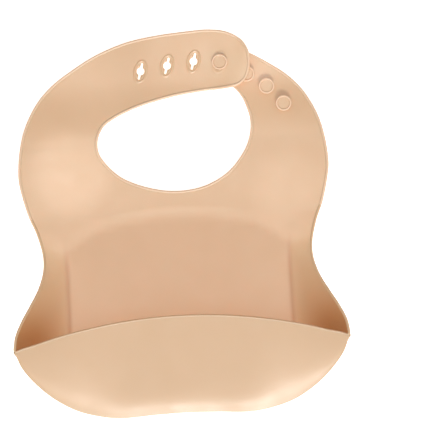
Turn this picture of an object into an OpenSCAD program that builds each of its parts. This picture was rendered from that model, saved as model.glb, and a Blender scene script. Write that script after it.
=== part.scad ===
/* [Body] */
// Overall width across the pocket's corners
bib_w = 257; // [230:1:280]
// Overall length from the pocket's foot to the top of the closed strap
bib_l = 294; // [270:1:315]
// Thickness of the silicone sheet
sheet_t = 1.6; // [1.2:0.1:2]
// Height of the swell of the chest above the back
chest_rise = 6.5; // [2:0.5:9]
// Width of each zone that bends
flex_w = 10; // [8:1:12]

/* [Rim] */
// Height of the rounded rim above the sheet
rim_rise = 0.8; // [0.3:0.1:1.2]
// Width of the rounded rim
rim_w = 3; // [2:0.5:4]

/* [Pocket] */
// Height of the middle of the pocket's mouth above the back
pocket_h = 50; // [40:1:60]
// Height of the outermost line of the pocket's foot
foot_h = 24; // [18:1:28]
// Radius of the bead along the pocket's mouth
lip_r = 1.6; // [1.2:0.1:2.2]

/* [Studs] */
// Diameter of a stud's cap
cap_d = 12; // [10:0.5:14]
// Thickness of a stud's cap without its raised ring
cap_t = 1.4; // [1:0.1:2]
// Width of the raised ring on the cap
ring_w = 1.2; // [0.8:0.1:2]
// Height of the raised ring on the cap
ring_rise = 0.4; // [0.2:0.1:0.8]
// Diameter of a stud's stem
stem_d = 5.2; // [4:0.1:5.6]

/* [Slots] */
// Diameter of the round middle of a slot
slot_d = 6; // [5.8:0.1:6.5]
// Overall length of a slot with its two slits
slot_l = 13; // [10:0.5:13.5]
// Width of the slits
slit_w = 1.8; // [1:0.1:1.9]
// Width of the raised rim round a slot
slot_rim_w = 1.7; // [1:0.1:2]
// Height of the raised rim round a slot
slot_rim_rise = 0.4; // [0.2:0.1:0.6]
// Lean of a slot, clockwise from the length of the bib
slot_lean = 16; // [0:1:30]

/* [Hidden] */
$fn = 48;

SKIN = [0.93, 0.76, 0.62];
DEEP = [0.87, 0.68, 0.53];
PALE = [0.97, 0.82, 0.70];

// The outlines are drawn at this width and length, with y = 0 on the line of the pocket's corners. They are
// stretched to the stated size and moved so that the middle of the bib's length is at the origin.
drawn_w = 257;
drawn_l = 294;
drawn_foot_y = -57.8;
drawn_top_y = 236.2;
half_w = drawn_w / 2;
corner_y = -3;
kx = bib_w / drawn_w;
ky = bib_l / drawn_l;
y_mid = ky * (drawn_foot_y + drawn_top_y) / 2;

// Clear gap between nodes that share an edge, and the same as a share of the way between two outline points
gap = 0.15;
nick = 0.02;
// How far in from the pocket's corner its front starts, counted in outline points, and how far it stays from
// the fold that runs on from there
corner = 0.85;
fold_clear = 3.4;
// Clear height between the two straps where they lie on each other
strap_gap = 0.4;
// Lines on which the bib bends
fold_y = 100;
shoulder_y = 163;
// Lines between which the chest rises, and between which it comes down again
rise_y = [104, 138];
fall_y = [140, 196];
// Fewest points across a sheet between its rims
across_n = 5;

// Side edge of the bib from the pocket's corner to the root of a strap
SIDE = [
    [128.5, -3], [126.5, 9], [121, 21], [114.5, 32], [108, 44], [104, 57], [104, 70], [108, 86],
    [113.5, 100], [118, 118], [119.5, 131], [117.5, 150], [112.5, 168], [103, 185.5], [91, 198.5],
    [77, 208.5]
];
// Edge of the flat part of the back from its top corner, down one side and across the foot to the middle
CREASE = [
    [93, 95], [86.5, 70], [86, 30], [86, -5], [79, -20], [60, -32], [30, -37.5], [0, -38]
];
// Outermost line of the pocket from its corner to the middle of its foot
FOOT = [
    [128.5, -3], [124.5, -16], [113, -30], [99, -41.5], [82, -51], [62, -56.3], [46, -57.8], [24, -56.6],
    [0, -56]
];
// Edge of the pocket's mouth from its corner to the middle
MOUTH = [
    [128.5, -3], [121, -1], [110, 1.8], [92, 6.8], [74, 10.7], [56, 13.8], [37, 16.2], [18, 17.6], [0, 18]
];
// Neck edge from the left strap's root, round the chest, to the right shoulder
NECK = [
    [-44.6, 170.5], [-52.5, 164.5], [-57, 154], [-55, 142], [-41.6, 127], [-22, 117.8], [0, 113.6],
    [22, 116], [41, 125.5], [54.3, 140.5], [60, 154], [60.8, 166], [57.8, 177.3]
];
// Inner and outer edges of the left strap from its root to its tip
LEFT_IN = [
    [-52.5, 164.5], [-44.6, 170.5], [-33, 176], [-17, 181.3], [5, 186.2], [26, 188.8], [45, 190.2],
    [54.5, 192.5], [60.5, 198.5], [62.8, 206]
];
LEFT_OUT = [
    [-112.5, 168], [-103, 185.5], [-91, 198.5], [-77, 208.5], [-56, 220.5], [-32, 229.4], [-8, 233.6],
    [15, 235.6], [32, 236.2], [46, 234], [57, 227.5], [62, 219.5], [63.2, 212]
];
// Inner and outer edges of the right strap from its root to the tip under the left strap
RIGHT_IN = [
    [60.8, 166], [57.8, 177.3], [55, 183.7], [50, 190], [43, 194.3], [35, 197.3], [29, 202], [26.2, 208]
];
RIGHT_OUT = [
    [112.5, 168], [103, 185.5], [91, 198.5], [77, 208.5], [62, 217.3], [50, 221.8], [38, 222.4], [29.5, 218],
    [26.4, 212]
];
// Centres of the slots, the last of them round the first stud, and of the studs
SLOTS = [[-21.3, 206.6], [-0.7, 209.8], [19.8, 212.1], [39.8, 210.7]];
STUDS = [[39.8, 210.7], [60.1, 200.4], [74.9, 190.3], [87.3, 176.5]];

// Rim section: distance in from the edge, and height above the sheet
RIM_IN = [for (f = [0, 0.2, 0.5, 0.8, 1.2]) f * rim_w];
RIM_UP = [for (f = [0.25, 0.8, 1, 0.7, 0]) f * rim_rise];

// Heights of the stacked straps and studs
left_floor = sheet_t + strap_gap;
cap_z = left_floor + sheet_t + slot_rim_rise + 0.3;
stud_top = cap_z + cap_t + ring_rise;
tip_lift = stud_top + 0.5 - left_floor;
slot_disc_r = slot_l / 2 + slot_rim_w + 0.9;
slot_hole_r = slot_disc_r + gap;

function clamp01(x) = max(0, min(1, x));
function smooth(a, b, x) = let (t = clamp01((x - a) / (b - a))) t * t * (3 - 2 * t);
function mix(a, b, t) = a + (b - a) * t;
function unit(v) = v / norm(v);
function reverse(P) = [for (k = [len(P) - 1:-1:0]) P[k]];
function flip_x(P) = [for (p = P) [-p[0], p[1]]];
function half_to_full(P) = concat([for (k = [0:len(P) - 2]) P[k]], reverse(flip_x(P)));

// Point at s on the smooth curve through P, where s counts the points from 0
function on_curve(P, s) = let (
        n = len(P) - 1,
        k = min(n - 1, max(0, floor(s))),
        t = s - k,
        b = P[k],
        c = P[k + 1],
        a = k > 0 ? P[k - 1] : 2 * b - c,
        d = k < n - 1 ? P[k + 2] : 2 * c - b
    ) (2 * b + t * (c - a + t * (2 * a - 5 * b + 4 * c - d + t * (3 * b - a - 3 * c + d)))) / 2;
function stretch(P, from, to, n) = [for (k = [0:n]) on_curve(P, mix(from, to, k / n))];
function whole(P, n) = stretch(P, 0, len(P) - 1, n);
// Count along P, between lo and hi, at which the curve crosses y
function find_y(P, y, lo, hi, n = 20) = let (mid = (lo + hi) / 2)
    n == 0 ? mid
    : (on_curve(P, mid)[1] < y) == (on_curve(P, hi)[1] > on_curve(P, lo)[1]) ? find_y(P, y, mid, hi, n - 1)
    : find_y(P, y, lo, mid, n - 1);

// Places on the side edge where the chest's fold and the shoulders' bend begin and end
side_top = find_y(SIDE, fold_y - flex_w / 2 - gap, 6, 9);
flex_foot = find_y(SIDE, fold_y - flex_w / 2 + gap, 6, 9);
chest_foot = find_y(SIDE, fold_y + flex_w / 2, 7, 9);
chest_head = find_y(SIDE, shoulder_y - flex_w / 2, 10, 12);
collar_foot = find_y(SIDE, shoulder_y + flex_w / 2, 11, 13);

// Places on the left strap's inner and outer edges where the zone that peels begins and ends
peel_from = [1.7, 3.78];
peel_to = [2.3, 4.18];

// Distances across a sheet of width w, with or without a rim at each side, and the height of the rim there.
// The rims' heights may be scaled, down to little where one strap runs under the other.
function across(w, a, b) = let (
        lo = a ? RIM_IN[len(RIM_IN) - 1] : 0,
        hi = w - (b ? RIM_IN[len(RIM_IN) - 1] : 0)
    ) concat(
        a ? RIM_IN : [0],
        [for (k = [1:across_n]) mix(lo, hi, k / (across_n + 1))],
        b ? [for (d = reverse(RIM_IN)) w - d] : [w]
    );
function swell(a, b, scale_a = 1, scale_b = 1) = concat(
    a ? scale_a * RIM_UP : [0],
    [for (k = [1:across_n]) 0],
    b ? scale_b * reverse(RIM_UP) : [0]
);
// Share of the right strap's rim at a place on its edge: little where the left strap lies over it
function rim_share(p) = mix(0.2, 1, smooth(-34, -25, p * [0.9, -0.434]));

// Height of the middle of the sheet at a place in the plan
function chest_z(p) = sheet_t / 2
    + chest_rise * (smooth(rise_y[0], rise_y[1], p[1]) - smooth(fall_y[0], fall_y[1], p[1]));
function left_z(p) = let (
        root = (p - [-75, 172]) * [0.62, 0.78],
        tip = (p - STUDS[0]) * unit(STUDS[1] - STUDS[0])
    ) chest_z(p) + left_floor * smooth(10, 23, root) + tip_lift * smooth(6.5, 15.5, tip);
function plan_z(p, left) = left ? left_z(p) : chest_z(p);

// Grid of points across the plan from edge A to edge B
function plan_grid(A, B, a, b, left) = [for (i = [0:len(A) - 1])
    let (w = norm(B[i] - A[i]), u = (B[i] - A[i]) / w)
    [for (d = across(w, a, b)) let (p = A[i] + u * d) [p[0] * kx, p[1] * ky, plan_z(p, left)]]
];

// Height of the pocket's side edge, of its foot's outermost line and of its mouth
function side_z(y) = mix(sheet_t / 2, pocket_h - 2, 1 - smooth(-15, 97, y));
function foot_z(x) = mix(foot_h, side_z(corner_y), smooth(70, 128, abs(x)));
function mouth_z(x) = mix(pocket_h, side_z(corner_y), pow(x / half_w, 2)) - sheet_t / 2;
// How near a place is to the pocket's corners: 0 across the middle of the foot, 1 at a corner
function near_corner(x) = smooth(0.55, 1, abs(x) / half_w);

// Row of points from the flat back at b up to the outer line at e: nearly straight on the sides, and a
// quarter round at the foot, where round is 1
function wall_row(b, e, ez, round, V) = [for (v = V) let (
        s = mix(v, sin(90 * v), round),
        h = mix(pow(v, 1.3), 1 - cos(90 * v), round)
    ) [mix(b[0], e[0], s) * kx, mix(b[1], e[1], s) * ky, mix(sheet_t / 2, ez, h)]
];

// Row of points from the foot at f, up and over to the bead that lies along the mouth at m: the curve's two
// inner control points pull it out to the foot's line and up to the mouth's height
function front_row(f, m, V) = let (end = m - unit(m - f) * (lip_r + gap)) [for (v = V) let (
        s = 0.45 * (1 - v) * v * v + v * v * v,
        h = 2.25 * (1 - v) * (1 - v) * v + 2.82 * (1 - v) * v * v + v * v * v
    ) [mix(f[0], end[0], s) * kx, mix(f[1], end[1], s) * ky, mix(foot_z(f[0]), mouth_z(m[0]), h)]
];
// Share of a front row that lies at distance d from the fold
function front_share(f, m, d, lo = 0, hi = 1, n = 16) = let (
        mid = (lo + hi) / 2,
        R = front_row(f, m, [0, mid])
    )
    n == 0 ? mid
    : norm(R[1] - R[0]) < d ? front_share(f, m, d, mid, hi, n - 1)
    : front_share(f, m, d, lo, mid, n - 1);

// Outward or upward side of a grid at one of its points
function side_at(G, i, j) = let (
        n = len(G) - 1,
        m = len(G[0]) - 1,
        along = G[min(i + 1, n)][j] - G[max(i - 1, 0)][j],
        over = G[i][min(j + 1, m)] - G[i][max(j - 1, 0)]
    ) unit(cross(along, over));

module placed() {
    translate([0, -y_mid, 0]) children();
}

// Closed skin over two grids of n rows and m columns, top first
module skin(points, n, m) {
    function t(i, j) = i * m + j;
    function b(i, j) = n * m + i * m + j;
    function quad(p, q, r, s) = [[p, q, r], [p, r, s]];
    i_end = n - 1;
    j_end = m - 1;
    placed() polyhedron(points, concat(
        [for (i = [0:n - 2], j = [0:m - 2]) each quad(t(i, j), t(i, j + 1), t(i + 1, j + 1), t(i + 1, j))],
        [for (i = [0:n - 2], j = [0:m - 2]) each quad(b(i, j), b(i + 1, j), b(i + 1, j + 1), b(i, j + 1))],
        [for (i = [0:n - 2]) each quad(t(i, 0), t(i + 1, 0), b(i + 1, 0), b(i, 0))],
        [for (i = [0:n - 2]) each quad(t(i, j_end), b(i, j_end), b(i + 1, j_end), t(i + 1, j_end))],
        [for (j = [0:m - 2]) each quad(t(0, j), b(0, j), b(0, j + 1), t(0, j + 1))],
        [for (j = [0:m - 2]) each quad(t(i_end, j), t(i_end, j + 1), b(i_end, j + 1), b(i_end, j))]
    ));
}

// Sheet on a grid, where up holds the height of the rim at each column of each row
module sheet(G, up) {
    n = len(G);
    m = len(G[0]);
    skin(concat(
        [for (i = [0:n - 1], j = [0:m - 1]) G[i][j] + side_at(G, i, j) * (sheet_t / 2 + up[i][j])],
        [for (i = [0:n - 1], j = [0:m - 1]) G[i][j] - side_at(G, i, j) * sheet_t / 2]
    ), n, m);
}

// The same rise, or none, on every row of a grid
function each_row(G, rise) = [for (row = G) rise];
function no_rise(G) = [for (row = G) [for (p = row) 0]];

// Sheet between edges A and B in the plan, with a rim along A, B or both, on the left strap or elsewhere
module ribbon(A, B, a, b, left = false) {
    G = plan_grid(A, B, a, b, left);
    sheet(G, each_row(G, swell(a, b)));
}

// Flat sheet inside an outline in the plan
module flat(outline) {
    placed() linear_extrude(sheet_t) polygon([for (p = outline) [p[0] * kx, p[1] * ky]]);
}

// Flat sheet between two parts of edges
module band(A, B) {
    flat(concat(A, reverse(B)));
}

module back_panel() {
    edge = stretch(CREASE, nick, len(CREASE) - 1, 40);
    color(DEEP) flat(concat(edge, reverse(flip_x(edge))));
}

module side_wall() {
    rows = 20;
    edge = stretch(SIDE, side_top, 0, rows);
    root = stretch(CREASE, 0, 3, rows);
    V = [0.01, 0.1, 0.25, 0.45, 0.65, 0.8, 0.87, 0.92, 0.96, 0.985, 1];
    up = [for (f = [0, 0, 0, 0, 0, 0, 0, 0.7, 1, 0.8, 0.25]) f * rim_rise];
    G = [for (i = [0:rows]) wall_row(root[i], edge[i], side_z(edge[i][1]), 0, V)];
    sheet(G, each_row(G, up));
}

module left_side_wall() {
    color(DEEP) mirror([1, 0, 0]) side_wall();
}

module right_side_wall() {
    color(DEEP) side_wall();
}

module pocket_bottom() {
    rows = 44;
    V = [0.01, 0.18, 0.35, 0.5, 0.64, 0.78, 0.9, 0.996];
    fold = stretch(half_to_full(FOOT), nick, 2 * len(FOOT) - 2 - nick, rows);
    root = stretch(half_to_full(CREASE), 3 + nick, 11 - nick, rows);
    G = [for (i = [0:rows]) let (x = fold[i][0])
        wall_row(root[i], fold[i], foot_z(x), 1 - near_corner(x), V)];
    color(SKIN) sheet(G, no_rise(G));
}

module front_panel() {
    rows = 40;
    T = [0, 0.08, 0.17, 0.27, 0.38, 0.5, 0.62, 0.74, 0.87, 1];
    fold = stretch(half_to_full(FOOT), 2 * len(FOOT) - 2 - corner, corner, rows);
    mouth = stretch(half_to_full(MOUTH), 2 * len(MOUTH) - 2 - corner, corner, rows);
    G = [for (i = [0:rows]) let (
            clear = gap + fold_clear * near_corner(fold[i][0]),
            start = front_share(fold[i], mouth[i], clear)
        ) front_row(fold[i], mouth[i], [for (t = T) mix(start, 1, t)])];
    color(SKIN) sheet(G, no_rise(G));
}

module pocket_lip() {
    rows = 44;
    sides = 10;
    line = stretch(half_to_full(MOUTH), 0.9, 2 * len(MOUTH) - 2.9, rows);
    path = [for (p = line) [p[0] * kx, p[1] * ky, mouth_z(p[0])]];
    function ring(i) = let (
            t = unit(path[min(i + 1, rows)] - path[max(i - 1, 0)]),
            u = unit(cross([0, 0, 1], t)),
            w = cross(t, u)
        ) [for (k = [0:sides - 1]) path[i] + lip_r * (cos(360 * k / sides) * u + sin(360 * k / sides) * w)];
    walls = [for (i = [0:rows - 1], k = [0:sides - 1]) let (n = (k + 1) % sides)
        each [
            [i * sides + k, (i + 1) * sides + k, (i + 1) * sides + n],
            [i * sides + k, (i + 1) * sides + n, i * sides + n]
        ]];
    color(PALE) placed() polyhedron([for (i = [0:rows]) each ring(i)], concat(
        walls,
        [[for (k = [0:sides - 1]) k], [for (k = [sides - 1:-1:0]) rows * sides + k]]
    ));
}

module chest_flex() {
    edge = stretch(SIDE, flex_foot, chest_foot, 4);
    color(DEEP) band(edge, flip_x(edge));
}

module chest_panel() {
    rows = 30;
    A = stretch(NECK, 8 - nick, 4 + nick, rows);
    foot_half = on_curve(SIDE, chest_foot)[0] - 0.3;
    B = [for (k = [0:rows]) [mix(foot_half, -foot_half, k / rows), fold_y + flex_w / 2 + gap]];
    color(SKIN) ribbon(A, B, true, false);
}

module left_shoulder() {
    rows = 16;
    A = stretch(NECK, 4, find_y(NECK, shoulder_y - flex_w / 2, 1, 2) + nick, rows);
    B = flip_x(stretch(SIDE, chest_foot, chest_head, rows));
    color(SKIN) ribbon(A, B, true, true);
}

module right_shoulder() {
    rows = 16;
    A = stretch(NECK, find_y(NECK, shoulder_y - flex_w / 2, 10, 11) - nick, 8, rows);
    B = stretch(SIDE, chest_head, chest_foot, rows);
    color(SKIN) ribbon(A, B, true, true);
}

module left_shoulder_flex() {
    lo = find_y(NECK, shoulder_y - flex_w / 2, 1, 2);
    hi = find_y(NECK, shoulder_y + flex_w / 2, 0, 1);
    color(SKIN) ribbon(
        stretch(NECK, lo, hi, 4),
        flip_x(stretch(SIDE, chest_head + nick, collar_foot, 4)),
        true, true
    );
}

module right_shoulder_flex() {
    lo = find_y(NECK, shoulder_y - flex_w / 2, 10, 11);
    hi = find_y(NECK, shoulder_y + flex_w / 2, 11, 12);
    color(SKIN) ribbon(
        stretch(NECK, hi, lo, 4),
        stretch(SIDE, collar_foot, chest_head + nick, 4),
        true, true
    );
}

// Part of the left strap between two pairs of places on its inner and outer edges
module left_part(from, to, rows) {
    ribbon(
        stretch(LEFT_IN, from[0], to[0], rows),
        stretch(LEFT_OUT, from[1], to[1], rows),
        true, true, true
    );
}

module left_collar() {
    inner = find_y(LEFT_IN, shoulder_y + flex_w / 2, 0, 1) + 2 * nick;
    outer = find_y(LEFT_OUT, shoulder_y + flex_w / 2, 0, 1) + 2 * nick;
    color(SKIN) left_part([inner, outer], peel_from, 16);
}

module left_strap_flex() {
    color(SKIN) left_part(peel_from + [nick, nick], peel_to - [nick, nick], 3);
}

module left_strap() {
    color(SKIN) difference() {
        left_part(peel_to, [len(LEFT_IN) - 1, len(LEFT_OUT) - 1], 40);
        for (p = SLOTS) placed() translate([p[0] * kx, p[1] * ky, 0])
            cylinder(r = slot_hole_r, h = 4 * left_floor);
    }
}

module right_strap() {
    inner = find_y(RIGHT_IN, shoulder_y + flex_w / 2, 0, 1) + nick;
    outer = find_y(RIGHT_OUT, shoulder_y + flex_w / 2, 0, 1) + nick;
    A = stretch(RIGHT_IN, len(RIGHT_IN) - 1, inner, 36);
    B = stretch(RIGHT_OUT, len(RIGHT_OUT) - 1, outer, 36);
    G = plan_grid(A, B, true, true, false);
    color(SKIN) sheet(G, [for (i = [0:len(A) - 1]) swell(true, true, rim_share(A[i]), rim_share(B[i]))]);
}

// Bar with round ends
module bar(length, width) {
    square([width, length - width], center = true);
    for (side = [-1, 1]) translate([0, side * (length - width) / 2]) circle(d = width);
}

module slot_rim(k) {
    p = SLOTS[k - 1];
    color(PALE) placed() translate([p[0] * kx, p[1] * ky, left_floor]) rotate(-slot_lean) difference() {
        union() {
            cylinder(r = slot_disc_r, h = sheet_t);
            linear_extrude(sheet_t + slot_rim_rise) {
                circle(d = slot_d + 2 * slot_rim_w);
                bar(slot_l + 2 * slot_rim_w, slit_w + 2 * slot_rim_w);
            }
        }
        translate([0, 0, -1]) cylinder(d = slot_d, h = sheet_t + slot_rim_rise + 2);
        translate([0, 0, -1]) linear_extrude(sheet_t + slot_rim_rise + 2) bar(slot_l, slit_w);
    }
}

module slot_rim_1() {
    slot_rim(1);
}

module slot_rim_2() {
    slot_rim(2);
}

module slot_rim_3() {
    slot_rim(3);
}

module slot_rim_4() {
    slot_rim(4);
}

// Stud k, a stem under a flat cap with a raised ring on its edge
module stud(k) {
    p = STUDS[k - 1];
    cap_r = cap_d / 2;
    foot = [p[0] * kx, p[1] * ky, chest_z(p) - sheet_t / 2];
    color(PALE) placed() translate(foot) rotate_extrude() polygon([
        [0, sheet_t], [stem_d / 2, sheet_t], [stem_d / 2, cap_z], [cap_r - 0.5, cap_z], [cap_r, cap_z + 0.5],
        [cap_r, stud_top - 0.3], [cap_r - 0.3, stud_top], [cap_r - ring_w + 0.3, stud_top],
        [cap_r - ring_w, stud_top - ring_rise], [0, stud_top - ring_rise]
    ]);
}

module stud_1() {
    stud(1);
}

module stud_2() {
    stud(2);
}

module stud_3() {
    stud(3);
}

module stud_4() {
    stud(4);
}

back_panel();
left_side_wall();
right_side_wall();
pocket_bottom();
front_panel();
pocket_lip();
chest_flex();
chest_panel();
left_shoulder();
right_shoulder();
left_shoulder_flex();
left_collar();
left_strap_flex();
left_strap();
slot_rim_1();
slot_rim_2();
slot_rim_3();
slot_rim_4();
right_shoulder_flex();
right_strap();
stud_1();
stud_2();
stud_3();
stud_4();
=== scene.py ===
"""Silicone bib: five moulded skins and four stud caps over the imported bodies, seen from above."""

import math

import bpy
import numpy as np
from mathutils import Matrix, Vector
from mathutils.geometry import delaunay_2d_cdt


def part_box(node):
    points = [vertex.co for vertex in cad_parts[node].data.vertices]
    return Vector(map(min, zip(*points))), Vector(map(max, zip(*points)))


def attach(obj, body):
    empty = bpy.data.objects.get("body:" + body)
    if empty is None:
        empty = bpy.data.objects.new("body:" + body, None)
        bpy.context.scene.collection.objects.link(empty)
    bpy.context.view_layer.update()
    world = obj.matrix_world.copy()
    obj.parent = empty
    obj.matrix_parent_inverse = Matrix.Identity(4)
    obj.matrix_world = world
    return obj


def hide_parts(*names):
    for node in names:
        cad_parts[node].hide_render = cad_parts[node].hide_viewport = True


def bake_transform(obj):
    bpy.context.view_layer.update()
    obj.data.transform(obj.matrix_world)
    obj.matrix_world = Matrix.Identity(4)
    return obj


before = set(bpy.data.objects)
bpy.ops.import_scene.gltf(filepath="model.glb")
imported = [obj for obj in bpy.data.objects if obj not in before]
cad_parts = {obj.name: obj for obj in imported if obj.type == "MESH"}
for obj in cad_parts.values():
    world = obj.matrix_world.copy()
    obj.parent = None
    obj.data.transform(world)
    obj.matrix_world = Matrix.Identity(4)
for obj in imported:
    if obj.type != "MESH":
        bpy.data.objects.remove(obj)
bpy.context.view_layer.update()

# ------------------------------------------------------------------ sizes
# Lengths are in millimetres in the bib's plan, where x = 0 is its middle and y = 0 is just above
# the pocket's corners. They become metres in the frame only when a piece is made.
MM = 0.001
PLAN_MID = 89.2  # the frame's y = 0
HALF_SHEET = 0.8
SEAM_Y = 97.0  # where the pocket's skin meets the chest's
COLLAR_Y = 150.0  # where the chest's skin meets the straps'

POCKET_H = 50.0
CORNER_H = POCKET_H - 2
FOOT_H = 27.0
WALL_TURN = math.radians(55)  # how steeply a wall of the pocket meets the foot
FOLD_BLUR = 2.2  # how softly the walls turn into the front

STEP = 0.7  # the small step round the recess, part of the chest's whole rise
CHEST_RISE = 4.0
CREST_Y, FALL_START, FALL_END = 152, 155, 200
RECESS_TOP = 95

RIM_R = 1.15
LIP_R = 1.0
RIM_HIGHLIGHT = 0.7  # strength of the painted highlight on rims and stud rings

SLOT_LEAN = math.radians(16)
SLOT_R, SLOT_L, SLIT_W = 3.0, 13.0, 1.8
RIDGE_A, RIDGE_B, RIDGE_W, RIDGE_H = 4.5, 8.2, 1.3, 0.35  # half axes, width and height of an oval
BUTTONED, BUTTONED_SHARE = 3, 0.35  # the slot in use, whose ridge is pressed nearly flat

STRAP_REST = 2.0  # how far the left strap lies above the right one
ROOT_AT, ROOT_WAY, ROOT_START, ROOT_END = (-75, 172), (0.62, 0.78), -4, 56
LIFT_START, LIFT_END = 3.2, 19.5  # where the left strap's tip climbs, counted from stud_1
CLEAR_OF_STUD = 0.5
SOFT_TIP = 0.15  # the share of that climb which its shading shows

STEM_R, CAP_T, RING_W, DISH = 2.6, 1.8, 1.25, 0.55
STUD_DEPTH = 0.1  # how much deeper the studs' colour is

TIP = (128.5, -3)
SIDE = [
    TIP, (126.5, 9), (121, 21), (114.5, 32), (108, 44), (104, 57), (104, 70), (108, 86),
    (113.5, 100), (118, 118), (119.5, 131), (117.5, 150), (112.5, 168), (103, 185.5),
    (91, 198.5), (77, 208.5),
]
CREASE = [
    (95, 99), (86.5, 72), (86, 30), (86, -5), (79, -20), (60, -32), (30, -37.5), (0, -38),
]
FOOT = [
    TIP, (121.8, -16.5), (110.2, -30.5), (97, -41.8), (81, -51), (62, -56.3), (46, -57.8),
    (24, -56.6), (0, -56),
]
MOUTH = [
    TIP, (121, -1), (110, 1.8), (92, 6.8), (74, 10.7), (56, 13.8), (37, 16.2), (18, 17.6), (0, 18),
]
RIGHT_IN = [
    (26.2, 208), (29, 202), (35, 197.3), (43, 194.3), (50, 190), (55, 183.7), (57.8, 177.3),
    (60.8, 166),
]
RIGHT_OUT = [
    (26.4, 212), (29.5, 218), (38, 222.4), (50, 221.8), (62, 217.3), (77, 208.5), (91, 198.5),
    (103, 185.5), (112.5, 168),
]
NECK = [
    (60, 154), (54.3, 140.5), (41, 125.5), (22, 116), (0, 113.6), (-22, 117.8), (-41.6, 127),
    (-55, 142), (-57, 154), (-52.5, 164.5), (-44.6, 170.5),
]
LEFT_IN = [
    (-33, 176), (-17, 181.3), (5, 186.2), (26, 188.8), (45, 190.2), (54.5, 192.5), (60.5, 198.5),
    (62.8, 206),
]
LEFT_OUT = [
    (-112.5, 168), (-103, 185.5), (-91, 198.5), (-77, 208.5), (-56, 220.5), (-32, 229.4),
    (-8, 233.6), (15, 235.6), (32, 236.2), (46, 234), (57, 227.5), (62, 219.5), (63.2, 212),
]
SLOTS = np.array([(-21.3, 206.6), (-0.7, 209.8), (19.8, 212.1), (39.8, 210.7)])


def stud_box(k):
    """Centre of a stud in the plan, the heights of its foot and top, and its cap's radius."""
    lo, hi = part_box(f"stud_{k}")
    x, y = (lo.x + hi.x) / 2 / MM, (lo.y + hi.y) / 2 / MM + PLAN_MID
    return np.array((x, y, lo.z / MM, hi.z / MM, (hi.x - lo.x) / 2 / MM))


STUDS = [stud_box(k) for k in (1, 2, 3, 4)]
TIP_LIFT = STUDS[1][3] + CLEAR_OF_STUD - STRAP_REST


# ------------------------------------------------------------------ curves
def flip(P):
    return [(-x, y) for x, y in P]


def both(P):
    """P, which ends in the middle, and on to its mirror image."""
    return P[:-1] + flip(P)[::-1]


def on_curve(P, s):
    """Points at s on the smooth curve through P, where s counts the points from 0."""
    P, s = np.asarray(P, float), np.atleast_1d(np.asarray(s, float))
    n = len(P) - 1
    k = np.clip(np.floor(s).astype(int), 0, n - 1)
    t = (s - k)[:, None]
    b, c = P[k], P[k + 1]
    a = np.where((k > 0)[:, None], P[np.maximum(k - 1, 0)], 2 * b - c)
    d = np.where((k < n - 1)[:, None], P[np.minimum(k + 2, n)], 2 * c - b)
    square, cube = (2 * a - 5 * b + 4 * c - d) * t**2, (3 * b - a - 3 * c + d) * t**3
    return 0.5 * (2 * b + (c - a) * t + square + cube)


def run_of(P):
    """Distance along the polyline P to each of its points."""
    return np.r_[0, np.cumsum(np.linalg.norm(np.diff(P, axis=0), axis=1))]


def at_run(P, run, s):
    """Points of the polyline P at the distances s along it."""
    return np.stack([np.interp(s, run, P[:, k]) for k in range(P.shape[1])], 1)


def even(P, count):
    """count points evenly spaced along the polyline P."""
    run = run_of(P)
    return at_run(P, run, np.linspace(0, run[-1], count))


def stretch(P, start, end, count):
    """count points evenly spaced along the smooth curve through P between two places on it."""
    return even(on_curve(P, np.linspace(start, end, 400)), count)


def crossing(height, y, lo, hi):
    """Place between lo and hi at which height, which only rises or only falls there, is y."""
    up = height(hi) > height(lo)
    for _ in range(40):
        mid = (lo + hi) / 2
        if (height(mid) < y) == up:
            lo = mid
        else:
            hi = mid
    return (lo + hi) / 2


def inset(P, by):
    """The plan polyline P moved to its left by a distance, or by one for each point."""
    t = np.gradient(P, axis=0)
    t /= np.linalg.norm(t, axis=1)[:, None]
    return P + np.stack([-t[:, 1], t[:, 0]], 1) * np.reshape(by, (-1, 1))


def smooth(a, b, x):
    """0 up to a, 1 from b on, and an even S between."""
    t = np.clip((np.asarray(x, float) - a) / (b - a), 0, 1)
    return t * t * (3 - 2 * t)


def mix(a, b, t):
    return a + (b - a) * t


# ------------------------------------------------------------------ heights of the sheet's middle
def recess_top(x):
    """Where the recess of the back ends: an arch that rounds down at its two ends."""
    x = np.abs(x)
    return RECESS_TOP - 8 * (np.minimum(x, 70) / 60) ** 2 - 14 * smooth(62, 92, x)


def ground(p):
    """The back, the chest and the right strap, which lie on the floor or swell up from it."""
    x, y = p[:, 0], p[:, 1]
    top = recess_top(x)
    rise = STEP * smooth(-1, 8, y - top) + (CHEST_RISE - STEP) * smooth(top - 3, CREST_Y, y)
    return HALF_SHEET + rise * (1 - smooth(FALL_START, FALL_END, y))


def left_height(p, tip=1.0):
    """The left strap, which rises from its root and climbs over stud_2 by a share of TIP_LIFT."""
    root = (p - ROOT_AT) @ ROOT_WAY
    way = (STUDS[1] - STUDS[0])[:2]
    past = (p - STUDS[0][:2]) @ (way / np.linalg.norm(way))
    rest = ground(p) + STRAP_REST * smooth(ROOT_START, ROOT_END, root)
    return rest + tip * TIP_LIFT * smooth(LIFT_START, LIFT_END, past)


def turned(p, centre):
    """Plan points as seen from a slot: first across it, then along it."""
    d = p - centre
    c, s = math.cos(SLOT_LEAN), math.sin(SLOT_LEAN)
    return d[:, 0] * c - d[:, 1] * s, d[:, 0] * s + d[:, 1] * c


def ridge(p):
    """Height of the raised ovals round the slots."""
    out = np.zeros(len(p))
    for k, centre in enumerate(SLOTS):
        a, b = turned(p, centre)
        q = np.hypot(a / RIDGE_A, b / RIDGE_B)
        off = (q - 1) * np.hypot(a, b) / np.maximum(q, 1e-6)
        share = BUTTONED_SHARE if k == BUTTONED else 1.0
        swell = np.cos(np.clip(np.abs(off) / RIDGE_W, 0, 1) * math.pi / 2) ** 2
        out = np.maximum(out, share * RIDGE_H * swell)
    return out


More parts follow.
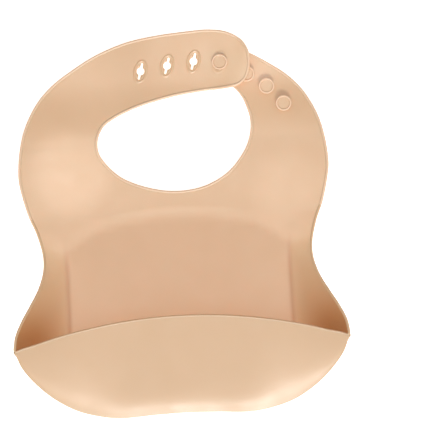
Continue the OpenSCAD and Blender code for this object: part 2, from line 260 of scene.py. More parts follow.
def side_z(y):
    """Height of the pocket's free side edge."""
    return mix(HALF_SHEET, CORNER_H, 1 - smooth(-15, SEAM_Y, y))


def foot_z(x):
    """Height of the pocket's widest line."""
    return mix(FOOT_H, side_z(TIP[1]), smooth(70, TIP[0], np.abs(x)))


def mouth_z(x):
    """Height of the front at the pocket's mouth."""
    return mix(POCKET_H, side_z(TIP[1]), (x / TIP[0]) ** 2) - HALF_SHEET


def slope_normals(height, p, h=0.05):
    """Upward normals of a height over the plan."""
    dx = (height(p + (h, 0)) - height(p - (h, 0))) / (2 * h)
    dy = (height(p + (0, h)) - height(p - (0, h))) / (2 * h)
    n = np.stack([-dx, -dy, np.ones(len(p))], 1)
    return n / np.linalg.norm(n, axis=1)[:, None]


# ------------------------------------------------------------------ meshes
class Skin:
    """One piece in plan millimetres. At each point one tone darkens its colour, as painted shade in
    the pocket and a slight even tint on the studs, and edge lightens it as a painted highlight on
    rims and stud rings.
    """

    def __init__(self):
        self.points, self.normals, self.faces, self.count = [], [], [], 0
        self.depth, self.edge = [], []

    def add(self, points, normals, faces, depth=0.0, edge=0.0):
        self.points.append(points)
        self.normals.append(normals)
        self.depth.append(np.broadcast_to(depth, len(points)))
        self.edge.append(np.broadcast_to(edge, len(points)))
        self.faces += [tuple(int(k) + self.count for k in f) for f in faces]
        self.count += len(points)

    def sheet(self, mid, normals, faces):
        """Both faces of a sheet round its middle surface."""
        self.add(mid + normals * HALF_SHEET, normals, faces)
        self.add(mid - normals * HALF_SHEET, -normals, [f[::-1] for f in faces])

    def tube(self, path, radius, tangents=None, sides=14, depth=None, edge=0.0):
        """A round bead along a path, with a radius for each of its points."""
        t = np.gradient(path, axis=0) if tangents is None else tangents
        t = t / np.linalg.norm(t, axis=1)[:, None]
        u = np.cross(t, (0, 0, 1.0))
        u /= np.linalg.norm(u, axis=1)[:, None]
        w = np.cross(u, t)
        a = np.linspace(0, 2 * math.pi, sides, endpoint=False)[None, :, None]
        n = u[:, None] * np.cos(a) + w[:, None] * np.sin(a)
        ring = path[:, None] + n * np.reshape(radius, (-1, 1, 1))
        faces = []
        for i in range(len(path) - 1):
            lo, hi = i * sides, (i + 1) * sides
            for j in range(sides):
                k = (j + 1) % sides
                faces.append((lo + j, hi + j, hi + k, lo + k))
        n = n.reshape(-1, 3)
        self.add(ring.reshape(-1, 3), n, faces, 0.0 if depth is None else depth(n), edge)

    def make(self, name):
        points = np.vstack(self.points)
        points[:, 1] -= PLAN_MID
        mesh = bpy.data.meshes.new(name)
        mesh.from_pydata((points * MM).tolist(), [], self.faces)
        mesh.polygons.foreach_set("use_smooth", [True] * len(mesh.polygons))
        mesh.normals_split_custom_set_from_vertices(np.vstack(self.normals).tolist())
        for tone, values in (("depth", self.depth), ("edge", self.edge)):
            data = mesh.attributes.new(tone, "FLOAT", "POINT").data
            data.foreach_set("value", np.concatenate(values))
        obj = bpy.data.objects.new(name, mesh)
        bpy.context.scene.collection.objects.link(obj)
        return obj


def grid_faces(at):
    """Faces of a grid of point numbers."""
    rows, cols = at.shape
    return [
        (at[i, j], at[i + 1, j], at[i + 1, j + 1], at[i, j + 1])
        for i in range(rows - 1)
        for j in range(cols - 1)
    ]


def mesh_normals(points, faces):
    out = np.zeros_like(points)
    for f in faces:
        q = points[list(f)]
        if len(f) == 4:
            n = np.cross(q[2] - q[0], q[3] - q[1])
        else:
            n = np.cross(q[1] - q[0], q[2] - q[0])
        for k in f:
            out[k] += n
    return out / np.maximum(np.linalg.norm(out, axis=1), 1e-12)[:, None]


def ribbon(inner, outer, cols=34):
    """Plan points and faces of a strip between two edges with the same number of points."""
    t = np.linspace(0, 1, cols)
    v = mix(t, (1 - np.cos(t * math.pi)) / 2, 0.6)
    p = inner[:, None] + (outer - inner)[:, None] * v[None, :, None]
    return p.reshape(-1, 2), grid_faces(np.arange(len(inner) * cols).reshape(-1, cols))


def inside(loop, p):
    """Which plan points are inside a closed loop."""
    x, y = p[:, 0], p[:, 1]
    out = np.zeros(len(p), bool)
    for (ax, ay), (bx, by) in zip(loop, np.roll(loop, -1, axis=0)):
        if ay != by:
            out ^= ((ay > y) != (by > y)) & (x < (bx - ax) * (y - ay) / (by - ay) + ax)
    return out


def distance_to(loop, p):
    """Distance from each plan point to a closed loop."""
    best = np.full(len(p), 1e9)
    for q, r in zip(loop, np.roll(loop, -1, axis=0)):
        d = r - q
        t = np.clip(((p - q) @ d) / max(d @ d, 1e-9), 0, 1)
        best = np.minimum(best, np.linalg.norm(p - q - t[:, None] * d, axis=1))
    return best


def fill(outline, pitch, holes=(), rings=(), clear=()):
    """Plan points and triangles inside an outline and outside its holes.

    rings are points to mesh through, and no other points lie inside the loops of clear.
    """
    lo, hi = outline.min(0), outline.max(0)
    rows = []
    for k, y in enumerate(np.arange(lo[1], hi[1], pitch * 0.866)):
        x = np.arange(lo[0] + (k % 2) * pitch / 2, hi[0], pitch)
        rows.append(np.stack([x, np.full(len(x), y)], 1))
    free = np.vstack(rows)
    free = free[inside(outline, free)]
    free = free[distance_to(outline, free) > pitch * 0.55]
    for loop in clear:
        free = free[~inside(loop, free)]
    edges, first = [], 0
    for loop in (outline, *holes):
        edges += [(first + k, first + (k + 1) % len(loop)) for k in range(len(loop))]
        first += len(loop)
    flat = np.vstack([outline, *holes, free, *rings])
    flat_points = [Vector(q) for q in flat]
    found, _, faces, origin, _, _ = delaunay_2d_cdt(flat_points, edges, [], 0, 1e-5, True)
    found = np.array([tuple(v) for v in found])
    middle = np.array([found[list(f)].mean(0) for f in faces])
    keep = inside(outline, middle)
    for hole in holes:
        keep &= ~inside(hole, middle)
    place = np.full(len(flat), -1)
    for k, sources in enumerate(origin):
        for q in sources:
            place[q] = k
    return found, [tuple(f) for f, ok in zip(faces, keep) if ok], place


# ------------------------------------------------------------------ the free edge
# One line from the pocket's left corner, up round the left strap, down the neck, round the right
# strap and down to the right corner. The bib lies to its right all the way.
INNER = RIGHT_IN + NECK + LEFT_IN
OUTER_RIGHT = RIGHT_OUT + SIDE[::-1][4:]
OUTER_LEFT = flip(SIDE[:12]) + LEFT_OUT
ALL = OUTER_LEFT + INNER[::-1] + OUTER_RIGHT
FIRST_IN, FIRST_RIGHT = len(OUTER_LEFT), len(OUTER_LEFT) + len(INNER)


def rim_share(places, p):
    """How much of the rim there is: none on the right strap where the left one lies over it."""
    on_right = (places > FIRST_IN + len(LEFT_IN)) & (p[:, 0] > 0) & (p[:, 1] > 172)
    return np.where(on_right, smooth(-34, -25, p @ (0.9, -0.434)), 1.0)


# Places on that line, counted from the first point of OUTER_LEFT, INNER and OUTER_RIGHT
def left_edge(k):
    return float(k)


def inner_edge(k):
    return float(FIRST_IN + len(INNER) - 1 - k)


def right_edge(k):
    return float(FIRST_RIGHT + k)


class Edge:
    """The line through P, set in by the rim's radius. Places count the points of P."""

    def __init__(self, P, share):
        self.places = np.linspace(0, len(P) - 1, 50 * (len(P) - 1) + 1)
        line = on_curve(P, self.places)
        self.radius = mix(HALF_SHEET, RIM_R, share(self.places, line))
        self.line = inset(line, -self.radius)
        self.run = run_of(self.line)

    def at(self, run):
        return at_run(self.line, self.run, run)

    def runs(self, start, end, count):
        ends = np.interp((start, end), self.places, self.run)
        return np.linspace(*ends, count)

    def cut(self, start, end, count):
        return self.at(self.runs(start, end, count))

    def length(self, start, end):
        return abs(np.diff(np.interp((start, end), self.places, self.run))[0])

    def place_at(self, y, lo, hi):
        return crossing(lambda s: self.cut(s, s, 1)[0, 1], y, lo, hi)


EDGE = Edge(ALL, rim_share)
TOP_R = EDGE.place_at(SEAM_Y, right_edge(12), right_edge(13))
TOP_L = EDGE.place_at(SEAM_Y, left_edge(7), left_edge(8))
END_R, END_L = right_edge(len(OUTER_RIGHT) - 1), left_edge(0)


def rim(skin, start, end, height, pitch=1.6):
    """The bead along a stretch of the free edge. Its underside is flush with the sheet's."""
    runs = EDGE.runs(start, end, max(2, int(EDGE.length(start, end) / pitch)))

    def path(s):
        p, r = EDGE.at(s), np.interp(s, EDGE.run, EDGE.radius)
        return np.c_[p, height(p) + r - HALF_SHEET], r

    h = 0.2
    # The bead is lightened along its length as a painted highlight
    skin.tube(*path(runs), tangents=path(runs + h)[0] - path(runs - h)[0], edge=RIM_HIGHLIGHT)


# ------------------------------------------------------------------ pocket
def local_blur(P, width):
    """Rounds the corners of a polyline, less and less towards its ends, which stay."""
    run = run_of(P)
    if run[-1] < 0.5:
        return P
    room = np.minimum(run, run[-1] - run)
    sigma = np.maximum(np.minimum(width, room / 2.5), 1e-3)
    step = np.gradient(run)
    w = np.exp(-((run[None] - run[:, None]) ** 2) / (2 * sigma[:, None] ** 2))
    w = w * np.maximum(step, 1e-6)[None]
    out = (w @ P) / w.sum(1)[:, None]
    out[0], out[-1] = P[0], P[-1]
    return out


def local_blur_at(path, places, width, reach):
    """Rounds a path where it turns sharply at the given places."""
    run = run_of(path)
    sigma = np.full(len(path), 1e-3)
    for q in places:
        k = np.argmin(np.linalg.norm(path - q, axis=1))
        sigma = np.maximum(sigma, width * (1 - smooth(0, reach, np.abs(run - run[k]))))
    w = np.exp(-((run[None] - run[:, None]) ** 2) / (2 * sigma[:, None] ** 2))
    return (w @ path) / w.sum(1)[:, None]


def gentle(n, x):
    """Shading normals of the pocket's outside, which lean less than its surface does.

    They lean 19 degrees at most in the middle and 27 at the sides, and are true from 125 on.
    """
    steep = np.degrees(np.arccos(np.clip(n[:, 2], -1, 1)))
    middle = 19 * smooth(4, 62, steep)
    soft = mix(middle, 27 * (1 - np.exp(-steep / 30)), smooth(35, 75, x))
    lean = np.radians(mix(soft, steep, smooth(90, 125, steep)))
    level = n[:, :2] / np.maximum(np.linalg.norm(n[:, :2], axis=1), 1e-9)[:, None]
    return np.c_[level * np.sin(lean)[:, None], np.cos(lean)]


SIDE_N, FOOT_N, WALL_N, FRONT_N = 60, 160, 26, 32  # points along the sides and foot, and up each
CORNER = EDGE.cut(TOP_R, END_R, SIDE_N)[-1]
ON_FOOT = slice(SIDE_N - 1, SIDE_N - 1 + FOOT_N)


def wall_lines(outer, crease):
    """Lines up the walls from the crease, which bow out in the middle of the foot."""
    on_foot = np.zeros(len(outer), bool)
    on_foot[ON_FOOT] = True
    high = np.where(on_foot, foot_z(outer[:, 0]), side_z(outer[:, 1]))
    r = np.where(on_foot, 1 - smooth(0.55, 1, np.abs(outer[:, 0]) / CORNER[0]), 0)[:, None]
    v = np.linspace(0, 1, 70)[None, :]
    s = mix(v, np.sin(v * WALL_TURN) / math.sin(WALL_TURN), r)
    h = mix(v**1.35, (1 - np.cos(v * WALL_TURN)) / (1 - math.cos(WALL_TURN)), r)
    plan = mix(crease[:, None], outer[:, None], s[:, :, None])
    base = ground(plan.reshape(-1, 2)).reshape(s.shape)
    return np.dstack([plan, base + (high[:, None] - HALF_SHEET) * h])


def front_lines(foot, mouth):
    """Lines over the front from the foot to the mouth, steep at first and then nearly level."""
    v = np.linspace(0, 1, 110)[None, :] ** 1.3
    s = 0.3 * (1 - v) ** 2 * v + 0.15 * (1 - v) * v**2 + v**3
    h = 1.8 * (1 - v) ** 2 * v + 3.03 * (1 - v) * v**2 + v**3
    plan = mix(foot[:, None], mouth[:, None], s[:, :, None])
    up = mix(foot_z(foot[:, 0])[:, None], mouth_z(mouth[:, 0])[:, None], h)
    return np.dstack([plan, up])


def shell_grids(walls, fronts):
    """Grids over the walls and the front, with the fold between them rounded."""
    wall_at = np.linspace(0, 1, WALL_N)
    front_at = np.linspace(0, 1, FRONT_N)
    wall_grid = np.zeros((len(walls), WALL_N, 3))
    front_grid = np.zeros((FOOT_N, FRONT_N, 3))
    for i, wall in enumerate(walls):
        k = i - ON_FOOT.start
        if 0 <= k < FOOT_N:
            line = np.vstack([wall, fronts[k][1:]])
            run = run_of(line)
            middle = run[len(wall) - 1]
            soft = local_blur(line, FOLD_BLUR)
            wall_grid[i] = at_run(soft, run, wall_at**0.9 * middle)
            front_grid[k] = at_run(soft, run, middle + front_at**1.15 * (run[-1] - middle))
        else:
            wall_grid[i] = at_run(wall, run_of(wall), wall_at**0.9 * run_of(wall)[-1])
    return wall_grid, front_grid


def recess_floor(crease, crease_side, first, count):
    """The floor's new points, numbered from count, and its faces. first numbers the crease."""
    top = stretch([tuple(crease[-1]), tuple(crease[0])], 0, 1, 60)[1:-1]
    outline = np.vstack([crease, top])
    rings = [
        (crease_side - (by, 0)) * (side, 1) for by in (0.8, 1.6, 2.4, 3.4) for side in (1, -1)
    ]
    found, triangles, place = fill(outline, 5.0, rings=[ring[1:-1] for ring in rings])
    number = {int(place[k]): int(first[k]) for k in range(len(crease))}
    extra = []
    for k in range(len(found)):
        if k not in number:
            number[k] = count + len(extra)
            extra.append(found[k])
    extra = np.array(extra)
    return np.c_[extra, ground(extra)], [tuple(number[k] for k in f) for f in triangles]


def pocket_tones(mid, normals, crease):
    """Painted shade for each place in the pocket, darker on the recess floor, in the corners and
    along the crease where shade falls, and its shading normals.
    """
    x, y = np.abs(mid[:, 0]), mid[:, 1]
    off = distance_to(crease, mid[:, :2])
    floor = smooth(1.5, -5, y - recess_top(x)) * (1 - smooth(82, 94, x)) * smooth(25, 75, y)
    corners = smooth(45, 0, y) * smooth(82, 116, x)
    along_crease = np.exp(-((off / 2) ** 2)) * smooth(80, 55, y) * smooth(60, 80, x)
    # Painted shade: a little on the recess floor, strong deep in the pocket's corners, and a thin
    # dark line along the crease
    depth = np.maximum(0.16 * floor, 0.9 * corners) + 0.55 * along_crease
    # The walls are shaded as if they rose more gently from the crease and near their tops
    ease = np.maximum(0.65 * smooth(40, 78, y), 0.75 * np.exp(-off / 5))
    ease = ease * smooth(80, 86, x) * (y > 0) * (1 - smooth(88, SEAM_Y, y))
    shading = mix(normals, np.array((0, 0, 1.0)), ease[:, None])
    return depth, shading / np.linalg.norm(shading, axis=1)[:, None]


def pocket_bead(skin, mouth):
    """The bead down one side of the pocket, along its mouth and up the other side."""

    def lifted(p):
        lift = (RIM_R - HALF_SHEET) * smooth(70, SEAM_Y, p[:, 1])
        return np.c_[p, ground(p) + side_z(p[:, 1]) - HALF_SHEET + lift]

    # Painted shade on the bead's inner side, which faces away from the light
    def inner_shade(n):
        return 0.9 * smooth(0.25, 0.85, n[:, 1]) * smooth(0.9, 0.5, n[:, 2])

    past = 0.3
    down = lifted(EDGE.at(EDGE.runs(TOP_R - past, END_R, 400)))
    along = np.c_[mouth, mouth_z(mouth[:, 0])]
    up = lifted(EDGE.at(EDGE.runs(END_L, TOP_L + past, 400)))
    path = even(np.vstack([down, along[1:-1], up]), 900)
    path = local_blur_at(path, (down[-1], up[0]), 1.5, 9.0)
    runs = run_of(path)
    first, last = np.flatnonzero(path[:, 1] < SEAM_Y - 0.05)[[0, -1]]
    start = np.interp(-SEAM_Y, -path[: first + 2, 1], runs[: first + 2])
    stop = np.interp(SEAM_Y, path[last - 1 :, 1], runs[last - 1 :])
    s = np.linspace(start, stop, 420)
    tangents = at_run(path, runs, s + 0.2) - at_run(path, runs, s - 0.2)
    radius = mix(RIM_R, LIP_R, smooth(5, 40, np.minimum(s - start, stop - s)))
    skin.tube(at_run(path, runs, s), radius, tangents, depth=inner_shade)


def make_pocket():
    side_r = EDGE.cut(TOP_R, END_R, SIDE_N)
    side_l = EDGE.cut(END_L, TOP_L, SIDE_N)
    foot = stretch(both([tuple(CORNER)] + FOOT[1:]), 0, 16, FOOT_N)
    mouth = stretch(both([tuple(CORNER)] + MOUTH[1:]), 0, 16, FOOT_N)
    crease_top = crossing(lambda s: on_curve(CREASE, s)[0, 1], SEAM_Y, 0, 1)
    crease_side = stretch(CREASE, crease_top, 3, SIDE_N)
    crease_foot = stretch(both(CREASE), 3, 11, FOOT_N)
    outer = np.vstack([side_r, foot[1:-1], side_l])
    crease = np.vstack([crease_side, crease_foot[1:-1], (crease_side * (-1, 1))[::-1]])

    wall_grid, front_grid = shell_grids(wall_lines(outer, crease), front_lines(foot, mouth))
    at = np.arange(len(outer) * WALL_N).reshape(len(outer), WALL_N)
    more = at.size + np.arange(FOOT_N * (FRONT_N - 1)).reshape(FOOT_N, FRONT_N - 1)
    floor, floor_faces = recess_floor(crease, crease_side, at[:, 0], at.size + more.size)
    faces = grid_faces(at) + grid_faces(np.c_[at[ON_FOOT, -1], more]) + floor_faces
    mid = np.vstack([wall_grid.reshape(-1, 3), front_grid[:, 1:].reshape(-1, 3), floor])
    normals = mesh_normals(mid, faces)
    seam = mid[:, 1] > SEAM_Y - 0.01
    normals[seam] = slope_normals(ground, mid[seam][:, :2])

    skin = Skin()
    depth, shading = pocket_tones(mid, normals, crease)
    skin.add(mid + normals * HALF_SHEET, shading, faces, depth)
    outside = gentle(-normals, np.abs(mid[:, 0]))
    skin.add(mid - normals * HALF_SHEET, outside, [f[::-1] for f in faces])
    pocket_bead(skin, mouth)
    return skin.make("pocket_shell")


# ------------------------------------------------------------------ chest and straps
IN_R = EDGE.place_at(COLLAR_Y, inner_edge(9), inner_edge(8))
IN_L = EDGE.place_at(COLLAR_Y, inner_edge(16), inner_edge(15))
OUT_R = EDGE.place_at(COLLAR_Y, right_edge(8.5), right_edge(10))
OUT_L = EDGE.place_at(COLLAR_Y, left_edge(10), left_edge(11.5))
PEEL_IN, PEEL_OUT = inner_edge(18), left_edge(15.45)


def strips(skin, height, *pairs):
    """Sheet between each pair of lines, at the given height."""
    for inner, outer in pairs:
        p, faces = ribbon(inner, outer)
        skin.sheet(np.c_[p, height(p)], slope_normals(height, p), faces)


def make_chest():
    skin = Skin()
    low_r, low_l = inner_edge(10), inner_edge(14)
    seam = even(np.vstack([EDGE.cut(TOP_R, TOP_R, 1), EDGE.cut(TOP_L, TOP_L, 1)]), 90)
    strips(
        skin,
        ground,
        (EDGE.cut(IN_R, low_r, 40), EDGE.cut(OUT_R, TOP_R, 40)),
        (EDGE.cut(low_r, low_l, 90), seam),
        (EDGE.cut(low_l, IN_L, 40), EDGE.cut(TOP_L, OUT_L, 40)),
    )
    rim(skin, OUT_R, TOP_R, ground)
    rim(skin, IN_L, IN_R, ground)
    rim(skin, TOP_L, OUT_L, ground)
    return skin.make("chest_skin")


def make_right_strap():
    skin = Skin()
    tip_in, tip_out = inner_edge(0), right_edge(0)
    strips(
        skin,
        ground,
        (EDGE.cut(tip_in, inner_edge(7), 70), EDGE.cut(tip_out, right_edge(8), 70)),
        (EDGE.cut(inner_edge(7), IN_R, 16), EDGE.cut(right_edge(8), OUT_R, 16)),
    )
    rim(skin, IN_R, OUT_R, ground, 1.2)
    return skin.make("right_strap_skin")


def make_collar():
    skin = Skin()
    inner, outer = EDGE.cut(IN_L, PEEL_IN, 50), EDGE.cut(OUT_L, PEEL_OUT, 50)
    strips(skin, left_height, (inner, outer))
    rim(skin, OUT_L, PEEL_OUT, left_height)
    rim(skin, PEEL_IN, IN_L, left_height)
    return skin.make("left_collar_skin")


def from_slot(a, b, centre):
    """Plan points from places across and along a slot, which turned() gives."""
    c, s = math.cos(SLOT_LEAN), math.sin(SLOT_LEAN)
    return centre + np.stack([a * c + b * s, b * c - a * s], 1)


def keyhole(centre):
    """Outline of a slot: a round hole with a slit above and one below."""
    open_at = math.asin(SLIT_W / 2 / SLOT_R)
    arc = np.linspace(open_at - math.pi / 2, math.pi / 2 - open_at, 22)
    round_r = np.stack([SLOT_R * np.cos(arc), SLOT_R * np.sin(arc)], 1)
    end = np.linspace(0, math.pi, 9)
    r = SLIT_W / 2
    slit = np.stack([r * np.cos(end), SLOT_L / 2 - r + r * np.sin(end)], 1)
    slit = np.vstack([[(r, 3.8), (r, 4.7)], slit, [(-r, 4.7), (-r, 3.8)]])  # its straight sides
    loop = np.vstack([round_r, slit, -round_r, -slit])
    return from_slot(loop[:, 0], loop[:, 1], centre)


def oval(centre, grow, count):
    """The line of the ridge round a slot, moved out by grow."""
    a = np.linspace(0, 2 * math.pi, count, endpoint=False)
    return from_slot((RIDGE_A + grow) * np.cos(a), (RIDGE_B + grow) * np.sin(a), centre)


MOUTH_DROP, MOUTH_LEAN = 0.22, 0.8  # how a slot's own edge is rounded down


def make_left_strap():
    skin = Skin()
    holes = [keyhole(c) for c in SLOTS]
    edge = EDGE.cut(PEEL_OUT, PEEL_IN, int(EDGE.length(PEEL_OUT, PEEL_IN) / 1.6))
    p, _ = ribbon(EDGE.cut(PEEL_IN, PEEL_IN, 1), EDGE.cut(PEEL_OUT, PEEL_OUT, 1))
    outline = np.vstack([edge, p[1:-1]])[::-1]
    rings = [oval(c, g, 72) for c in SLOTS for g in np.arange(-1.35, 1.5, 0.27)]
    clear = [oval(c, 2.2, 40) for c in SLOTS]
    p, faces, place = fill(outline, 2.6, holes, rings, clear)

    def soft_tip(q):
        return left_height(q, SOFT_TIP)

    def upper(q):
        return soft_tip(q) + ridge(q)

    mid = np.c_[p, left_height(p)]
    normals = slope_normals(soft_tip, p)
    top = mid + normals * HALF_SHEET
    top[:, 2] += ridge(p)
    top_normals = slope_normals(upper, p)
    first = len(outline)
    rims = []
    for hole in holes:
        k = place[first : first + len(hole)]
        first += len(hole)
        t = np.roll(hole, -1, axis=0) - np.roll(hole, 1, axis=0)
        t /= np.linalg.norm(t, axis=1)[:, None]
        rims.append((k, np.c_[-t[:, 1], t[:, 0], np.zeros(len(k))]))
        top[k, 2] -= MOUTH_DROP
        top_normals[k] += MOUTH_LEAN * rims[-1][1]
    top_normals /= np.linalg.norm(top_normals, axis=1)[:, None]
    skin.add(top, top_normals, faces)
    low = mid - normals * HALF_SHEET
    skin.add(low, -normals, [f[::-1] for f in faces])
    for k, inwards in rims:
        n = len(k)
        wall = [(i, (i + 1) % n, n + (i + 1) % n, n + i) for i in range(n)]
        skin.add(np.vstack([top[k], low[k]]), np.vstack([inwards, inwards]), wall)
    rim(skin, PEEL_OUT, PEEL_IN, left_height, 1.2)
    return skin.make("left_strap_skin")


# ------------------------------------------------------------------ studs
def soften(P, times=3):
    """Cuts the corners of a polyline, again and again."""
    P = np.asarray(P, float)
    for _ in range(times):
        q = np.empty((2 * len(P), 2))
        q[0], q[-1] = P[0], P[-1]
        q[1:-1:2] = P[:-1] * 0.75 + P[1:] * 0.25
        q[2::2] = P[:-1] * 0.25 + P[1:] * 0.75
        P = q
    return P


def stud_profile(base, top, cap):
    """Radius and height from the stem's foot, round the cap and in over its dished top."""
    under, floor, lip = top - CAP_T, top - DISH, cap - RING_W
    return soften(
        [
            (STEM_R + 0.9, base - 0.1), (STEM_R + 0.15, base + 0.2), (STEM_R, base + 0.9),
            (STEM_R, under - 0.1), (STEM_R + 0.3, under), (cap - 0.7, under), (cap, under + 0.1),
            (cap, top - 0.8), (cap, top - 0.05), (cap - 0.6, top + 0.02), (lip, top),
            (lip - 0.1, top - 0.5), (lip - 0.7, floor), (lip - 2, floor), (0.02, floor),
        ]
    )


def make_stud(k):
    x, y, base, top, cap = STUDS[k - 1]
    profile = stud_profile(base, top, cap)
    t = np.gradient(profile, axis=0)
    t /= np.linalg.norm(t, axis=1)[:, None]
    out = np.stack([t[:, 1], -t[:, 0]], 1)
    a = np.linspace(0, 2 * math.pi, 72, endpoint=False)
    spin = np.stack([np.cos(a), np.sin(a)], 1)
    points = np.vstack([np.c_[spin * r, np.full(len(a), z)] for r, z in profile])
    normals = np.vstack([np.c_[spin * r, np.full(len(a), z)] for r, z in out])
    at = np.arange(len(profile) * len(a)).reshape(len(profile), len(a))
    faces = [f[::-1] for f in grid_faces(np.c_[at, at[:, 0]])]
    r, z = np.repeat(profile, len(a), axis=0).T
    lip = cap - RING_W
    # The ring round the cap's top is lightened as a painted highlight
    pale = RIM_HIGHLIGHT * smooth(lip - 0.6, lip + 0.2, r) * smooth(top - 0.5, top - 0.1, z)
    skin = Skin()
    skin.add(points + (x, y, 0), normals, faces, STUD_DEPTH, pale)
    return skin.make(f"stud_{k}_cap")


# ------------------------------------------------------------------ materials
TINT_A, TINT_B = (0.725, 0.468, 0.258, 1), (0.745, 0.486, 0.274, 1)
# The colour that painted shade (and the studs' slight tint) darkens towards, and the colour of the
# painted highlight on rims and stud rings
SHADE_AND_TINT_COLOUR, HIGHLIGHT_COLOUR = (0.66, 0.36, 0.12, 1), (0.92, 0.62, 0.42, 1)
SILICONE_LOOK = {
    "IOR": 1.5,
    "Specular IOR Level": 1.0,
    "Coat Weight": 0.5,
    "Coat Roughness": 0.4,
    "Subsurface Weight": 0.3,
    "Subsurface Radius": (1.0, 0.75, 0.6),
    "Subsurface Scale": 0.002,
}


def silicone():
    """Soft matt silicone, darker where the shade tone says so (painted shade in the pocket, a
    slight even tint on the studs) and lighter where edge does (a painted highlight).
    """
    mat = bpy.data.materials.new("soft_silicone")
    mat.use_nodes = True
    nodes, links = mat.node_tree.nodes, mat.node_tree.links
    nodes.clear()
    out = nodes.new("ShaderNodeOutputMaterial")
    shader = nodes.new("ShaderNodeBsdfPrincipled")
    links.new(shader.outputs[0], out.inputs[0])
    for name, value in SILICONE_LOOK.items():
        shader.inputs[name].default_value = value
    place = nodes.new("ShaderNodeTexCoord")

    def noise(scale, detail, rough=0.5):
        n = nodes.new("ShaderNodeTexNoise")
        n.inputs["Scale"].default_value = scale
        n.inputs["Detail"].default_value = detail
        n.inputs["Roughness"].default_value = rough
        links.new(place.outputs["Object"], n.inputs["Vector"])
        return n.outputs["Fac"]

    def span(source, lo, hi):
        """A noise, most of which lies in 0.3 to 0.7, spread from lo to hi."""
        m = nodes.new("ShaderNodeMapRange")
        m.inputs["From Min"].default_value = 0.3
        m.inputs["From Max"].default_value = 0.7
        m.inputs["To Min"].default_value = lo
        m.inputs["To Max"].default_value = hi
        links.new(source, m.inputs["Value"])
        return m.outputs["Result"]

    def tone(name):
        attribute = nodes.new("ShaderNodeAttribute")
        attribute.attribute_name = name
        return attribute.outputs["Fac"]

    def blended(factor, a, b, how="MIX"):
        """Colour a, or the colour that socket a gives, mixed with colour b."""
        m = nodes.new("ShaderNodeMix")
        m.data_type = "RGBA"
        m.blend_type = how
        m.inputs["B"].default_value = b
        links.new(factor, m.inputs["Factor"])
        if isinstance(a, tuple):
            m.inputs["A"].default_value = a
        else:
            links.new(a, m.inputs["A"])
        return m.outputs["Result"]

    tint = blended(span(noise(22, 3), 0, 1), TINT_A, TINT_B)
    # Painted shade in the pocket, and the studs' slight even tint, multiply the colour
    shaded_colour = blended(tone("depth"), tint, SHADE_AND_TINT_COLOUR, "MULTIPLY")
    # Rims and stud rings are lightened as a painted highlight
    links.new(blended(tone("edge"), shaded_colour, HIGHLIGHT_COLOUR), shader.inputs["Base Color"])
    links.new(span(noise(60, 4), 0.38, 0.48), shader.inputs["Roughness"])
    fine = nodes.new("ShaderNodeBump")
    fine.inputs["Strength"].default_value = 0.08
    fine.inputs["Distance"].default_value = 0.0004
    links.new(noise(1800, 2, 0.6), fine.inputs["Height"])
    links.new(fine.outputs["Normal"], shader.inputs["Normal"])
    return mat


SILICONE = silicone()


def finished(obj, *nodes):
    """obj in silicone, standing for the named CAD nodes."""
    obj.data.materials.append(SILICONE)
    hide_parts(*nodes)
    return obj


def plan_point(x, y, z=0.0):
    """A place in the plan, in the frame's metres."""
    return (x * MM, (y - PLAN_MID) * MM, z * MM)


pocket = finished(
    make_pocket(),
    "back_panel", "left_side_wall", "right_side_wall", "pocket_bottom", "front_panel", "pocket_lip",
)
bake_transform(pocket)

chest = finished(make_chest(), "chest_flex", "chest_panel", "left_shoulder", "right_shoulder")
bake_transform(chest)

right = finished(make_right_strap(), "right_shoulder_flex", "right_strap")
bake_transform(right)

collar = finished(make_collar(), "left_shoulder_flex", "left_collar")
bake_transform(collar)

strap = finished(
    make_left_strap(),
    "left_strap_flex", "left_strap", "slot_rim_1", "slot_rim_2", "slot_rim_3", "slot_rim_4",
)
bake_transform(strap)

studs = [finished(make_stud(k), f"stud_{k}") for k in (1, 2, 3, 4)]
for stud in studs:
    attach(stud, "right_strap")


# ------------------------------------------------------------------ floor, light and camera
FLOOR_Z = -0.0006  # metres, just under the bib
FLOOR_GLOW, SKY = 0.60, 0.42
FAR = 2500  # height of the pools' lamps
# Plan x and y, radius and power of each pool of light, which evens or lifts a part of the bib
POOLS = {
    "pool_left": (-80, 130, 40, 24),
    "pool_right": (86, 112, 34, 10),
    "pool_left_shoulder": (-72, 188, 56, 8),
    "pool_right_shoulder": (84, 192, 54, 9),
    "pool_straps": (35, 205, 75, 14),
    "pool_left_wall": (-108, 62, 30, 24),
    "pool_right_wall": (108, 62, 30, 26),
}
CAMERA_AT = (0.0366, -0.0032, 3.0)
CAMERA_TURN = math.radians(3.06)


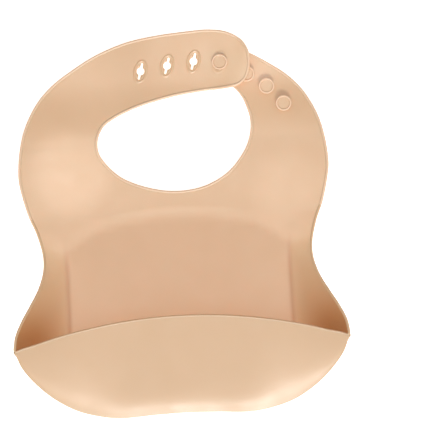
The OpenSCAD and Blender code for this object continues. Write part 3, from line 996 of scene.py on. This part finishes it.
def add_floor():
    bpy.ops.mesh.primitive_plane_add(size=6, location=(0, 0, FLOOR_Z))
    floor = bpy.context.object
    floor.name = "floor"
    pale = bpy.data.materials.new("pale_floor")
    pale.use_nodes = True
    shade = pale.node_tree.nodes["Principled BSDF"]
    shade.inputs["Base Color"].default_value = (0.9, 0.9, 0.9, 1)
    shade.inputs["Roughness"].default_value = 0.8
    shade.inputs["Emission Color"].default_value = (1, 1, 1, 1)
    shade.inputs["Emission Strength"].default_value = FLOOR_GLOW
    floor.data.materials.append(pale)
    return floor


def add_sky():
    world = bpy.data.worlds.new("studio")
    world.use_nodes = True
    background = world.node_tree.nodes["Background"]
    background.inputs["Color"].default_value = (1, 1, 1, 1)
    background.inputs["Strength"].default_value = SKY
    bpy.context.scene.world = world


def add_lamp(name, kind, power, shadow):
    lamp = bpy.data.lights.new(name, kind)
    lamp.energy = power
    lamp.use_shadow = shadow
    obj = bpy.data.objects.new(name, lamp)
    bpy.context.scene.collection.objects.link(obj)
    return obj


def far_light(name, tilt, turn, strength, spread, shadow=True):
    """A broad even light, tilt degrees from overhead and turned round from the pocket's end."""
    obj = add_lamp(name, "SUN", strength, shadow)
    obj.data.angle = math.radians(spread)
    obj.rotation_euler = (math.radians(tilt), 0, math.radians(turn))
    return obj


def pool(name, x, y, radius, power):
    """A soft pool of light on the bib, from high above."""
    obj = add_lamp(name, "SPOT", power, False)
    obj.data.spot_size = 2 * math.atan(radius / FAR)
    obj.data.spot_blend = 1.0
    obj.location = plan_point(x, y, FAR)


def add_camera():
    data = bpy.data.cameras.new("camera")
    data.sensor_width = 36
    data.lens = 313
    camera = bpy.data.objects.new("camera", data)
    camera.location = CAMERA_AT
    camera.rotation_euler = (0, 0, -CAMERA_TURN)
    bpy.context.scene.collection.objects.link(camera)
    bpy.context.scene.camera = camera


add_floor()
add_sky()
far_light("key", 46, 0, 0.55, 50, shadow=False)
side = far_light("side", 41, 8, 1.25, 16)
# The side light's shadows come from the straps, studs and chest alone, so the pocket casts none
caught = bpy.data.collections.new("small_shadows")
for obj in (chest, collar, strap, right, *studs):
    caught.objects.link(obj)
side.light_linking.blocker_collection = caught
far_light("top", 6, 0, 0.35, 30, shadow=False)
for name, values in POOLS.items():
    pool(name, *values)
add_camera()
bpy.context.scene.view_settings.view_transform = "Standard"
